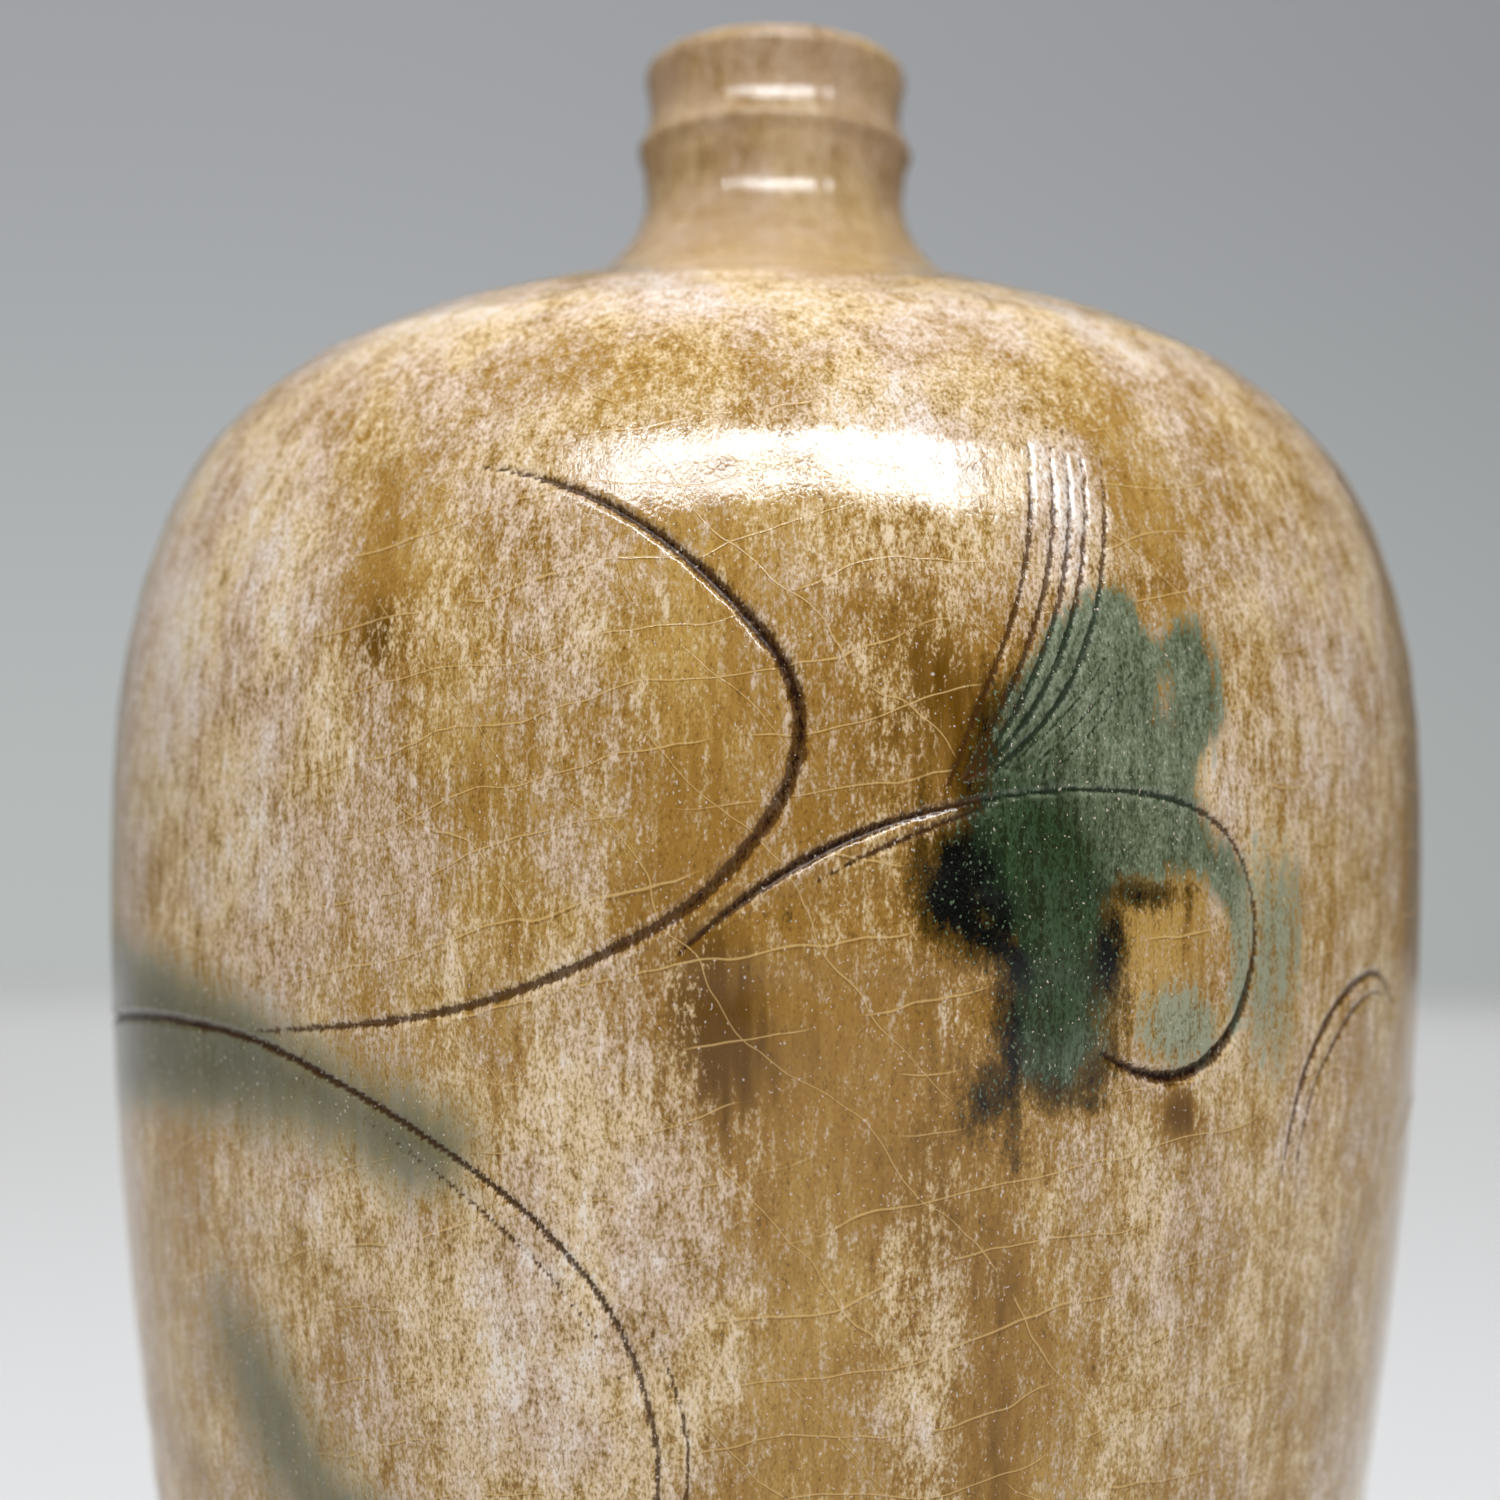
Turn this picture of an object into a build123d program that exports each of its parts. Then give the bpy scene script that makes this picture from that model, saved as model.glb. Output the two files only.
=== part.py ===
from build123d import *
from math import cos, radians, sin
import os

os.makedirs("parts", exist_ok=True)

# A wheel-thrown sake bottle, in millimetres. +Z is up, the origin is at the centre of the foot,
# and the decorated face looks towards -Y. A place on the wall is given as (azimuth, height):
# the azimuth is in degrees from the front, and positive towards +X.

# Driving dimensions
height = 196.0
belly_radius = 60.0
belly_height = 119.0
foot_radius = 38.0
neck_radius = 12.4
bore_radius = 9.0
wall = 5.0
coat = 0.5
lining = 0.3
film = 0.02

# Foot: a ring trimmed from the base, with a shallow hollow inside it
foot_height = 6.0
foot_ring_width = 8.0
foot_hollow = 3.0
foot_bevel = 0.8
glaze_line = foot_height + 2.5
floor_height = foot_hollow + 6.5
floor_radius = 24.0

# Neck: a collar luted into a stepped seat in the shoulder, with a half-round lip
lip_radius = 12.6
lip_round = (lip_radius - bore_radius) / 2
lip_centre = bore_radius + lip_round
lip_height = height - lip_round
seat_height = 171.0
seat_step = 2.4
seat_radius = 18.5
bore_start = 176.0

# Green splashes: how far they stand on the coat
splash_thickness = 0.15

# Distance between the points that a curve beside another one is drawn through
point_spacing = 2.5


def beside(curve, share, distance):
    """The point at a share of a curve's length, moved to the left of its direction."""
    place = curve @ share
    heading = curve % share
    return (place.X - heading.Y * distance, place.Y + heading.X * distance)


def share_at(curve, level, distance=0.0):
    """How far along a rising curve, moved sideways by a distance, it reaches a level."""
    low, high = 0.0, 1.0
    for halving in range(30):
        middle = (low + high) / 2
        if beside(curve, middle, distance)[1] < level:
            low = middle
        else:
            high = middle
    return low


def run(curve, distance, start=0.0, end=1.0):
    """Evenly spaced points beside a curve, between two shares of its length."""
    count = round(curve.length * (end - start) / point_spacing)
    return [beside(curve, start + (end - start) * step / count, distance) for step in range(count + 1)]


# The outside of the coat, as (radius, height), from the foot ring up to the lip
with BuildLine() as outside:
    Spline(
        (foot_radius + 1.5, foot_height),
        (44.0, 15.5),
        (48.6, 31.0),
        (54.8, 64.0),
        (58.3, 90.0),
        (belly_radius, belly_height),
        (59.0, 137.5),
        (57.0, 145.6),
        (53.6, 153.2),
        (48.7, 158.9),
        (43.1, 162.9),
        (37.8, 165.5),
        (30.5, 168.2),
        (23.5, 170.7),
        (18.0, 173.3),
        (14.7, 176.4),
        (12.9, 179.6),
        (neck_radius, 182.8),
        (neck_radius + 0.45, 186.7),
        (neck_radius - 0.2, 189.6),
        (lip_radius, lip_height),
    )
outside_curve = outside.edges()[0]

# The inside of the lining: a flat floor, a rounded corner, the wall, and a funnel up to the straight bore
inner_wall = [
    point
    for point in run(outside_curve, wall + coat)
    if point[0] > 1.2 * seat_radius and point[1] > 2.4 * floor_height
]
with BuildLine() as inside:
    Spline(
        (floor_radius, floor_height),
        (floor_radius + 9.5, floor_height + 2.6),
        *inner_wall,
        (bore_radius + 7.0, bore_start - 8.2),
        (bore_radius + 2.6, bore_start - 5.6),
        (bore_radius + 0.5, bore_start - 2.4),
        (bore_radius, bore_start),
    )
inside_curve = inside.edges()[0]

# The clay stands a film's width behind the coat and the lining
clay_inset = coat + film
clay_bore = bore_radius + lining + film
clay_widening = -(lining + film)

# The thrown body: hollow, with a trimmed foot ring and a stepped seat around its opening
seat_floor = seat_height - seat_step
with BuildPart() as clay_body:
    with BuildSketch(Plane.XZ):
        with BuildLine():
            outer = run(outside_curve, clay_inset, end=share_at(outside_curve, seat_height, clay_inset))
            inner = run(inside_curve, clay_widening, end=share_at(inside_curve, seat_floor, clay_widening))
            Spline(*outer)
            Polyline(outer[-1], (seat_radius, seat_height), (seat_radius, seat_floor), inner[-1])
            Spline(*inner)
            Polyline(
                inner[0],
                (0, inner[0][1]),
                (0, foot_hollow),
                (foot_radius - foot_ring_width - foot_bevel, foot_hollow),
                (foot_radius - foot_ring_width, 0),
                (foot_radius - foot_bevel, 0),
                (foot_radius, foot_bevel),
                outer[0],
            )
        make_face()
    revolve(axis=Axis.Z)
clay_body.part.label = "clay_body"
export_step(clay_body.part, "parts/clay_body.step")

# The neck: a collar with one raised ring and a half-round lip
neck_start = seat_height + film
collar_start = seat_floor + film
with BuildPart() as clay_neck:
    with BuildSketch(Plane.XZ):
        with BuildLine():
            outer = run(outside_curve, clay_inset, start=share_at(outside_curve, neck_start, clay_inset))
            inner = run(inside_curve, clay_widening, start=share_at(inside_curve, collar_start, clay_widening))
            inner_lip = (bore_radius + clay_inset, lip_height)
            Spline(*outer)
            ThreePointArc(outer[-1], (lip_centre, height - clay_inset), inner_lip)
            Polyline(inner_lip, (clay_bore, lip_height), inner[-1])
            Spline(*inner)
            Polyline(inner[0], (seat_radius - film, collar_start), (seat_radius - film, neck_start), outer[0])
        make_face()
    revolve(axis=Axis.Z)
clay_neck.part.label = "clay_neck"
export_step(clay_neck.part, "parts/clay_neck.step")

# The liner glaze: a thin lining of the cavity and the bore, up to the lip
with BuildPart() as inner_glaze:
    with BuildSketch(Plane.XZ):
        with BuildLine():
            lined = run(inside_curve, 0)
            backed = run(inside_curve, -lining)
            lining_top = lip_height - film
            Spline(*lined)
            Polyline(
                lined[-1],
                (bore_radius, lining_top),
                (bore_radius + lining, lining_top),
                backed[-1],
            )
            Spline(*backed)
            Polyline(backed[0], (0, backed[0][1]), (0, lined[0][1]), lined[0])
        make_face()
    revolve(axis=Axis.Z)
inner_glaze.part.label = "inner_glaze"
export_step(inner_glaze.part, "parts/inner_glaze.step")

# The coat: a thin shell over the outside, open at the foot and lapped over the lip
with BuildPart() as outer_glaze:
    with BuildSketch(Plane.XZ):
        with BuildLine():
            front = run(outside_curve, 0, start=share_at(outside_curve, glaze_line))
            back = run(outside_curve, coat, start=share_at(outside_curve, glaze_line, coat))
            Spline(*front)
            ThreePointArc(front[-1], (lip_centre, height), (bore_radius, lip_height))
            Line((bore_radius, lip_height), (bore_radius + coat, lip_height))
            ThreePointArc((bore_radius + coat, lip_height), (lip_centre, height - coat), back[-1])
            Spline(*back)
            Line(back[0], front[0])
        make_face()
    revolve(axis=Axis.Z)
outer_glaze.part.label = "outer_glaze"
export_step(outer_glaze.part, "parts/outer_glaze.step")

# Outlines of the green splashes, with the azimuth that each one faces
splashes = {
    "green_splash_leaf": (27, [
        (12.0, 121.1), (15.6, 128.0), (18.0, 133.0), (21.4, 136.1), (24.6, 136.8), (29.0, 133.4),
        (31.8, 134.8), (34.2, 132.0), (32.2, 125.0), (37.0, 119.0), (42.0, 113.0), (42.6, 106.5),
        (37.2, 102.8), (33.5, 104.5), (32.4, 112.5), (27.5, 116.4), (23.0, 114.0), (22.8, 107.0),
        (20.4, 102.9), (17.4, 106.5), (16.4, 111.8), (11.0, 114.0), (9.8, 118.2),
    ]),
    "green_splash_vine": (-54, [
        (-84, 108.0), (-66, 111.0), (-46, 108.0), (-28, 99.0),
        (-30, 92.5), (-50, 96.5), (-72, 96.0), (-85, 100.5),
    ]),
    "green_splash_low_left": (-35, [
        (-47, 88.0), (-39, 85.0), (-29, 73.0), (-20, 62.0),
        (-22, 54.0), (-33, 55.0), (-43, 66.0), (-49, 78.0),
    ]),
    "green_splash_low_right": (50, [
        (38, 66.0), (48, 68.0), (60, 62.0), (64, 50.0), (55, 42.0), (43, 46.0), (36, 56.0),
    ]),
    "green_splash_back": (185, [
        (168, 118.0), (174, 128.0), (184, 131.0), (194, 124.0),
        (203, 112.0), (198, 102.0), (187, 97.0), (176, 101.0), (167, 108.0),
    ]),
}

# The splashes: thin patches that lie on the coat
for name, (facing, outline) in splashes.items():
    levels = [level for azimuth, level in outline]
    start = share_at(outside_curve, min(levels) - wall)
    end = share_at(outside_curve, max(levels) + wall)
    under = run(outside_curve, -film, start, end)
    over = run(outside_curve, -splash_thickness, start, end)
    corners = []
    for azimuth, level in outline:
        reach = (outside_curve @ share_at(outside_curve, level)).X
        corners.append((reach * sin(radians(azimuth - facing)), level))
    turn = radians(facing)
    facing_plane = Plane(origin=(0, 0, 0), x_dir=(cos(turn), sin(turn), 0), z_dir=(sin(turn), -cos(turn), 0))
    with BuildPart() as splash:
        with BuildSketch(facing_plane):
            with BuildLine():
                Spline(*corners, periodic=True)
            make_face()
        extrude(amount=1.5 * belly_radius)
        with BuildSketch(Plane.XZ):
            with BuildLine():
                Spline(*over)
                Polyline(over[-1], (0, over[-1][1]), (0, over[0][1]), over[0])
            make_face()
        revolve(axis=Axis.Z, mode=Mode.INTERSECT)
        with BuildSketch(Plane.XZ):
            with BuildLine():
                Spline(*under)
                Polyline(under[-1], (0, under[-1][1]), (0, under[0][1]), under[0])
            make_face()
        revolve(axis=Axis.Z, mode=Mode.SUBTRACT)
    splash.part.label = name
    export_step(splash.part, "parts/" + name + ".step")
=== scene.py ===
from math import cos, pi, radians, sin

import bpy
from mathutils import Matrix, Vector
import numpy as np


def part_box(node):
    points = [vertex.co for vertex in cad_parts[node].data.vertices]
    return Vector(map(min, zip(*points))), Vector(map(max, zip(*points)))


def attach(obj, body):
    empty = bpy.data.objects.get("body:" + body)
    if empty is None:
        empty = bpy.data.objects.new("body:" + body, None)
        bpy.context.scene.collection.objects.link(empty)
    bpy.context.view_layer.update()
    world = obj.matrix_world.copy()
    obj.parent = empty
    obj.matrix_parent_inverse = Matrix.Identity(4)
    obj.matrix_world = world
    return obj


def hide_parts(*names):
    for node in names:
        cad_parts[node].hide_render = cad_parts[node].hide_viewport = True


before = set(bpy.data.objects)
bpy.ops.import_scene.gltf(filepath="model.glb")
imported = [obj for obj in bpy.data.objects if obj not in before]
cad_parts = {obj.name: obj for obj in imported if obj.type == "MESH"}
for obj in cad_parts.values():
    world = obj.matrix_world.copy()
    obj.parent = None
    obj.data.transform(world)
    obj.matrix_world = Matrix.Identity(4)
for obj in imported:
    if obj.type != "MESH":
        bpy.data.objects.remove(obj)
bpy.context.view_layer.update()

# A sake bottle in amber ash glaze with cut vine lines and copper-green splashes.
# The blocks below work in millimetres, with the foot's centre at the origin and the decorated face
# towards -Y. A place on the wall is (azimuth in degrees from the front, height).
MM = 0.001
coat_low, coat_high = [np.array(corner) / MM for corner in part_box("outer_glaze")]
HEIGHT = coat_high[2]
GLAZE_LINE = coat_low[2]
BELLY = 60.0
BORE = 9.0
LIP = 12.6
LIP_ROUND = (LIP - BORE) / 2
LIP_HEIGHT = HEIGHT - LIP_ROUND
NECK_FOOT = 171.0
RING_HEIGHT = 187.0
COAT = 0.47
# The spacing of the coat's points: fine on the decorated front, coarser elsewhere
FINE = 0.28
COARSE = 0.42
FRONT_EDGE = 66.0
FRONT_BOTTOM, FRONT_TOP = 64.0, 160.0


def srgb(red, green, blue):
    """A display colour from 0 to 255, as linear light."""
    parts = np.array([red, green, blue]) / 255
    linear = np.where(parts <= 0.04045, parts / 12.92, ((parts + 0.055) / 1.055) ** 2.4)
    return (*[float(value) for value in linear], 1.0)


# ---------------------------------------------------------------- curves

def smooth_curve(points, spacing):
    """A natural cubic spline through points, sampled at a steady spacing."""
    points = np.array(points, float)
    steps = np.hypot(*np.diff(points, axis=0).T)
    knots = np.concatenate([[0], np.cumsum(steps)])
    count = len(points)
    system = np.eye(count)
    right = np.zeros_like(points)
    slopes = np.diff(points, axis=0) / steps[:, None]
    for i in range(1, count - 1):
        system[i, i - 1:i + 2] = (steps[i - 1], 2 * (steps[i - 1] + steps[i]), steps[i])
        right[i] = 6 * (slopes[i] - slopes[i - 1])
    bend = np.linalg.solve(system, right)
    at = np.linspace(0, knots[-1], max(8, round(knots[-1] / spacing)))
    i = np.clip(np.searchsorted(knots, at, side="right") - 1, 0, count - 2)
    span = steps[i][:, None]
    near = (knots[i + 1] - at)[:, None]
    far = (at - knots[i])[:, None]
    curve = (bend[i] * near ** 3 + bend[i + 1] * far ** 3) / (6 * span)
    curve += (points[i] / span - bend[i] * span / 6) * near
    curve += (points[i + 1] / span - bend[i + 1] * span / 6) * far
    return curve


def outline():
    """The coat's outside as (radius, height), from the foot ring up to the lip."""
    return smooth_curve([
        (39.5, 6.0), (44.0, 15.5), (48.6, 31.0), (54.8, 64.0), (58.3, 90.0), (BELLY, 119.0),
        (59.0, 137.5), (57.0, 145.6), (53.6, 153.2), (48.7, 158.9), (43.1, 162.9), (37.8, 165.5),
        (30.5, 168.2), (23.5, 170.7), (18.0, 173.3), (14.7, 176.4), (12.9, 179.6), (12.4, 182.8),
        (12.85, 186.7), (12.2, 189.6), (LIP, LIP_HEIGHT),
    ], 0.05)


def lip_arc(inset):
    """The half-round lip, from outside to inside, moved inward by an inset."""
    angles = np.radians(np.arange(6, 181, 6))
    radius = LIP_ROUND - inset
    return np.stack([BORE + LIP_ROUND + radius * np.cos(angles), LIP_HEIGHT + radius * np.sin(angles)], 1)


side = outline()
side = side[side[:, 1] >= GLAZE_LINE]
side_length = np.concatenate([[0], np.cumsum(np.hypot(*np.diff(side, axis=0).T))])


def height_of(level):
    """The distance up the wall from the glaze line at which a height is reached."""
    return np.interp(level, side[:, 1], side_length)


# ---------------------------------------------------------------- grid of the coat

def wall_point(distance):
    """The wall's (radius, height) at distances up it."""
    return np.stack([np.interp(distance, side_length, side[:, column]) for column in (0, 1)], 1)


def stepped(breaks, spacings):
    """Values that run over stretches, each with its own spacing."""
    runs = []
    for low, high, spacing in zip(breaks[:-1], breaks[1:], spacings):
        runs.append(np.linspace(low, high, max(2, round((high - low) / spacing)), endpoint=False))
    return np.concatenate(runs)


fine_start, fine_end = height_of(FRONT_BOTTOM), height_of(FRONT_TOP)
along = stepped([0, fine_start, fine_end, side_length[-1]], [COARSE, FINE, COARSE])
per_mm = 180 / (pi * BELLY)
columns_around = stepped([-FRONT_EDGE, FRONT_EDGE, 360 - FRONT_EDGE], [FINE * per_mm, COARSE * per_mm])
theta = np.radians(columns_around)

rows = np.concatenate([wall_point(along), lip_arc(0.0)])
travel = np.concatenate([[0], np.cumsum(np.hypot(*np.diff(rows, axis=0).T))])
slope = np.gradient(rows, axis=0)
slope /= np.hypot(slope[:, 0], slope[:, 1])[:, None]
normal = np.stack([slope[:, 1], -slope[:, 0]], 1)
radius = rows[:, 0]
level = rows[:, 1]
shape = (len(rows), len(theta))


def waves(count, across, up, seed):
    """Smooth random relief about 1 high, with features of a given width and height in mm."""
    draw = np.random.default_rng(seed)
    total = np.zeros(shape, np.float32)
    for _ in range(count):
        turns = round(draw.normal() * 2 * pi * BELLY / across / 2)
        pitch = draw.normal() / up * pi
        phase = draw.uniform(0, 2 * pi)
        total += np.cos(turns * theta[None, :] + (pitch * travel + phase)[:, None]).astype(np.float32)
    return total * (2.0 / count) ** 0.5


def window(azimuth, up, reach):
    """The rows and columns within reach of a point, with their distances from it in mm."""
    first, last = np.searchsorted(travel, (up - reach, up + reach))
    local = max(np.interp(up, travel, radius), 3.0)
    half = reach / local
    offset = (theta - radians(azimuth) + pi) % (2 * pi) - pi
    columns = np.nonzero(np.abs(offset) <= half)[0]
    picked = np.ix_(np.arange(first, last), columns)
    across = offset[columns][None, :] * radius[first:last, None]
    return picked, across, (travel[first:last] - up)[:, None]


# ---------------------------------------------------------------- cut lines

CUT_STEP = 0.25
THINNEST_CUT = 0.05


def cut(azimuths_heights, widths, depths, ragged, seed):
    """Cuts one line into nearest and cut_depth: half-widths and depths are given at even steps along it."""
    draw = np.random.default_rng(seed)
    flat = np.array([(radians(azimuth) * BELLY, height_of(high)) for azimuth, high in azimuths_heights])
    path = smooth_curve(flat, CUT_STEP)
    share = np.linspace(0, 1, len(path))
    width = np.interp(share, np.linspace(0, 1, len(widths)), widths)
    depth = np.interp(share, np.linspace(0, 1, len(depths)), depths)
    wobble = np.zeros(len(path))
    for pitch in (1.1, 2.3, 4.7):
        wobble += np.sin(np.arange(len(path)) * CUT_STEP * 2 * pi / pitch + draw.uniform(0, 6)) / 3
    width = width * (1 + ragged * wobble)
    for (x, up), half, deep in zip(path, width, depth):
        if half < THINNEST_CUT:
            continue
        picked, across, rise = window(np.degrees(x / BELLY), up, max(1.2, 2.6 * half))
        away = np.hypot(across, rise) / half
        closer = away < nearest[picked]
        nearest[picked] = np.where(closer, away, nearest[picked])
        cut_depth[picked] = np.where(closer, deep, cut_depth[picked])


def turned(points, angle):
    """The same places, turned about the axis."""
    return [(azimuth + angle, high) for azimuth, high in points]


# How far each point is from the nearest cut, in half-widths of it, and how deep that cut is
nearest = np.full(shape, 9.0, np.float32)
cut_depth = np.zeros(shape, np.float32)

ARC = [
    (-24, 146.6), (-21, 146.0), (-12, 143.0), (-6, 139.0), (-1.2, 134.2), (1.3, 130.5), (2.1, 126.1),
    (1.2, 122.4), (-1.2, 118.4), (-4.8, 114.5), (-9.6, 111.5), (-15.6, 108.7), (-22.8, 106.5),
    (-30.0, 105.4), (-39.6, 104.6),
]
TENDRIL = [
    (-6.2, 110.6), (-2.4, 114.0), (2.4, 117.4), (7.2, 119.8), (12.0, 121.3), (18.0, 122.5), (24.0, 122.9),
    (29.6, 122.3), (34.0, 120.4), (36.6, 117.0), (37.5, 112.8), (37.0, 109.4), (35.9, 106.6),
    (33.5, 103.8), (30.2, 102.4), (27.0, 102.7), (23.7, 104.2),
]
TENDRIL_TWIN = [(2.6, 115.6), (6.8, 118.0), (10.8, 119.8), (15.0, 121.6)]
SWEEP = [
    (-118, 95.0), (-104, 100.0), (-84, 103.2), (-72, 104.2), (-60, 104.9), (-52.8, 105.0), (-44.4, 104.5),
    (-38.4, 103.5), (-32.4, 101.5), (-26.4, 98.9), (-20.4, 95.5), (-15.6, 92.0), (-12.0, 88.2),
    (-9.6, 84.5), (-8.1, 80.5), (-7.3, 76.6), (-7.4, 72.0), (-9.0, 65.0), (-12.5, 57.0),
]
COMPANION = [(-30, 99.2), (-23, 95.0), (-17, 90.4), (-13, 86.4), (-9.9, 81.5)]
STRAY = [(-8.4, 86.6), (-6.6, 82.6), (-5.2, 77.6), (-5.4, 72.0), (-7.5, 65.0)]
HOOK = [
    (41.6, 92.5), (42.6, 98.0), (44.4, 102.6), (47.6, 106.6), (51.6, 109.0), (56.4, 109.3), (59.6, 107.0),
]
HOOK_TWIN = [
    (43.6, 92.0), (44.2, 97.6), (46.0, 101.6), (49.0, 105.2), (52.4, 107.4), (56.4, 107.9), (59.0, 106.4),
]
COMB_TOPS = [19.2, 21.0, 22.3, 23.6, 25.3]


def comb_tooth(tooth, top):
    """One line of the comb: from the shoulder down, then swept left to meet its neighbours."""
    return [
        (top + 0.4, 150.0 - 0.5 * abs(tooth - 1.5)), (top - 0.1, 144.0), (top - 1.3, 138.0),
        (top - 3.2, 132.5), (top - 5.3 - 0.25 * tooth, 127.5),
        (top - 7.0 - 0.7 * tooth, 122.9 + 0.3 * tooth),
    ]


def comb_spur(tooth):
    """A short scratch beside the comb, inside the leaf."""
    start = 23.4 + 1.6 * tooth
    return [
        (start + 2.0, 136.0 - 1.6 * tooth), (start + 0.2, 132.0), (start - 3.4, 127.6), (start - 8.0, 123.4),
    ]


def cut_face(turn, seed, wider):
    """Cuts one face's vine, hook and comb lines, each so many times wider."""
    # Each line is its path, its half-widths, its depths and how ragged it is
    lines = [
        (ARC, [0.08, 0.3, 0.46, 0.6, 0.64, 0.58, 0.46, 0.4, 0.36, 0.2],
         [0.1, 0.42, 0.42, 0.32, 0.26, 0.22, 0.14], 0.2),
        (TENDRIL, [0.12, 0.4, 0.46, 0.42, 0.3, 0.2, 0.22, 0.3, 0.26, 0.2, 0.22, 0.42, 0.6, 0.56, 0.2],
         [0.3, 0.4, 0.4, 0.3, 0.24, 0.3, 0.26, 0.3, 0.42, 0.42], 0.18),
        (TENDRIL_TWIN, [0.08, 0.22, 0.26, 0.2], [0.2, 0.28, 0.2], 0.2),
        (SWEEP, [0.05, 0.4, 0.42, 0.45, 0.42, 0.36, 0.26, 0.25, 0.24, 0.08], [0.2, 0.36, 0.34, 0.25], 0.2),
        (COMPANION, [0.06, 0.2, 0.2, 0.08], [0.12, 0.2, 0.12], 0.2),
        (STRAY, [0.08, 0.22, 0.22, 0.08], [0.12, 0.22, 0.12], 0.2),
        (HOOK, [0.1, 0.42, 0.5, 0.3], [0.14, 0.26, 0.14], 0.2),
        (HOOK_TWIN, [0.08, 0.26, 0.3, 0.1], [0.12, 0.2, 0.12], 0.2),
    ]
    for tooth, top in enumerate(COMB_TOPS):
        lines.append((comb_tooth(tooth, top), [0.1, 0.27, 0.29, 0.3, 0.26], [0.12, 0.24, 0.24], 0.14))
    for tooth in range(3):
        lines.append((comb_spur(tooth), [0.05, 0.16, 0.18, 0.1], [0.08, 0.14, 0.12], 0.15))
    for number, (points, widths, depths, ragged) in enumerate(lines):
        cut(turned(points, turn), [wider * width for width in widths], depths, ragged, seed + number)


cut_face(0, 100, 1.0)
cut_face(180, 200, 1.35)
DEEPEST_CUT = 0.42
groove = np.clip(1 - nearest ** 2, 0, 1) ** 0.75
burr = np.exp(-(((nearest - 1.45) / 0.3) ** 2)) * (cut_depth > 0.05)
ink = groove * (0.3 + 0.7 * np.clip(cut_depth / DEEPEST_CUT, 0, 1)) * (cut_depth > 0.04)


# ---------------------------------------------------------------- glaze zones

def blob(azimuth, high, wide, tall, tilt=0.0):
    """A soft patch, 1 at its centre: half-widths in mm, tilt in degrees."""
    offset = (theta - radians(azimuth) + pi) % (2 * pi) - pi
    across = offset[None, :] * radius[:, None]
    rise = np.broadcast_to((travel - height_of(high))[:, None], shape)
    turn = radians(tilt)
    x = across * cos(turn) + rise * sin(turn)
    y = rise * cos(turn) - across * sin(turn)
    return np.exp(-((x / wide) ** 2 + (y / tall) ** 2)).astype(np.float32)


def patches_sum(rows):
    """The sum of soft patches, each (azimuth, height, half-width, half-height, tilt, amount)."""
    total = np.zeros(shape, np.float32)
    for azimuth, high, wide, tall, tilt, amount in rows:
        total += amount * blob(azimuth, high, wide, tall, tilt)
    return total


# More cream where the amount is above 0, more amber where it is below
FRONT_ZONES = [
    (9, 132, 9, 13, 0, -1.3), (-3, 128, 6, 12, 0, -0.75), (-28.5, 139, 4.4, 8.5, 0, -1.7),
    (5, 108, 9, 15, 0, -1.1), (-3, 108, 4.4, 8, 12, -1.6), (17.5, 84, 3, 22, 0, -1.2),
    (4.5, 78, 5.5, 22, 0, -1.0), (12, 76, 2.6, 18, 0, 0.5), (29, 113, 5, 5, 0, -1.4),
    (30.6, 99.6, 2.0, 2.4, 0, -2.4),
    (11, 104, 5, 9, 0, -0.9), (12.5, 126, 3.2, 7, 0, -0.9), (22.4, 143, 2.0, 7, 0, 1.2),
    (31, 144, 7, 8, 0, -0.7), (30, 137, 4, 2, 0, -0.6), (-7, 117, 5, 5, 0, -0.4),
    (0, 160, 40, 7, 0, 0.9), (66, 128, 5, 16, 0, -0.9), (-47, 133, 20, 22, 0, 0.9),
    (-20, 134, 7, 14, 0, 0.2), (-35, 116, 14, 8, 0, 0.6), (5, 148, 16, 4, 0, 0.8),
    (-40, 84, 22, 14, 0, 0.4), (-19, 86, 10, 17, 0, 0.6), (48, 133, 15, 17, 0, 0.75), (29, 86, 9, 14, 0, 0.5),
    (54, 92, 15, 18, 0, 0.45), (-68, 120, 14, 34, 0, 0.6), (70, 112, 10, 42, 0, -1.25),
]
GREEN_LEAF = [
    (14.2, 121.9), (16.0, 129.0), (18.3, 132.7), (21.5, 136.2), (25.5, 137.8), (27.0, 136.6), (28.6, 135.8),
    (30.4, 136.0), (32.8, 135.0), (34.4, 131.6), (33.8, 127.7), (31.4, 123.9), (33.5, 121.0), (36.4, 118.0),
    (37.6, 113.0), (37.2, 109.0), (35.6, 105.5), (34.6, 108.2), (34.4, 112.0), (31.6, 115.6), (27.4, 116.4),
    (24.4, 115.4), (23.6, 110.0), (23.8, 103.8), (20.7, 101.8), (17.7, 103.8), (17.2, 108.0), (16.8, 111.8),
    (15.4, 114.0), (13.8, 116.6), (13.0, 119.6),
]
DARK_SIDE = [
    (9.6, 115.4), (10.2, 118.8), (12.2, 120.6), (14.6, 119.4), (15.0, 116.2), (17.0, 113.0), (18.2, 110.6),
    (16.0, 109.8), (13.0, 111.2), (10.3, 112.8),
]
GREEN_VINE = [
    (-98, 104.0), (-84, 109.5), (-66, 110.5), (-50, 108.5), (-38, 105.8), (-28, 101.5), (-20.5, 97.0),
    (-21.5, 94.6), (-30, 96.0), (-42, 98.0), (-56, 98.5), (-72, 97.5), (-86, 97.0), (-98, 98.0),
]
GREEN_LOW_LEFT = [
    (-46, 86.0), (-40, 83.0), (-31, 73.0), (-22, 66.0), (-24, 58.0), (-34, 60.0), (-42, 70.0), (-48, 80.0),
]
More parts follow.
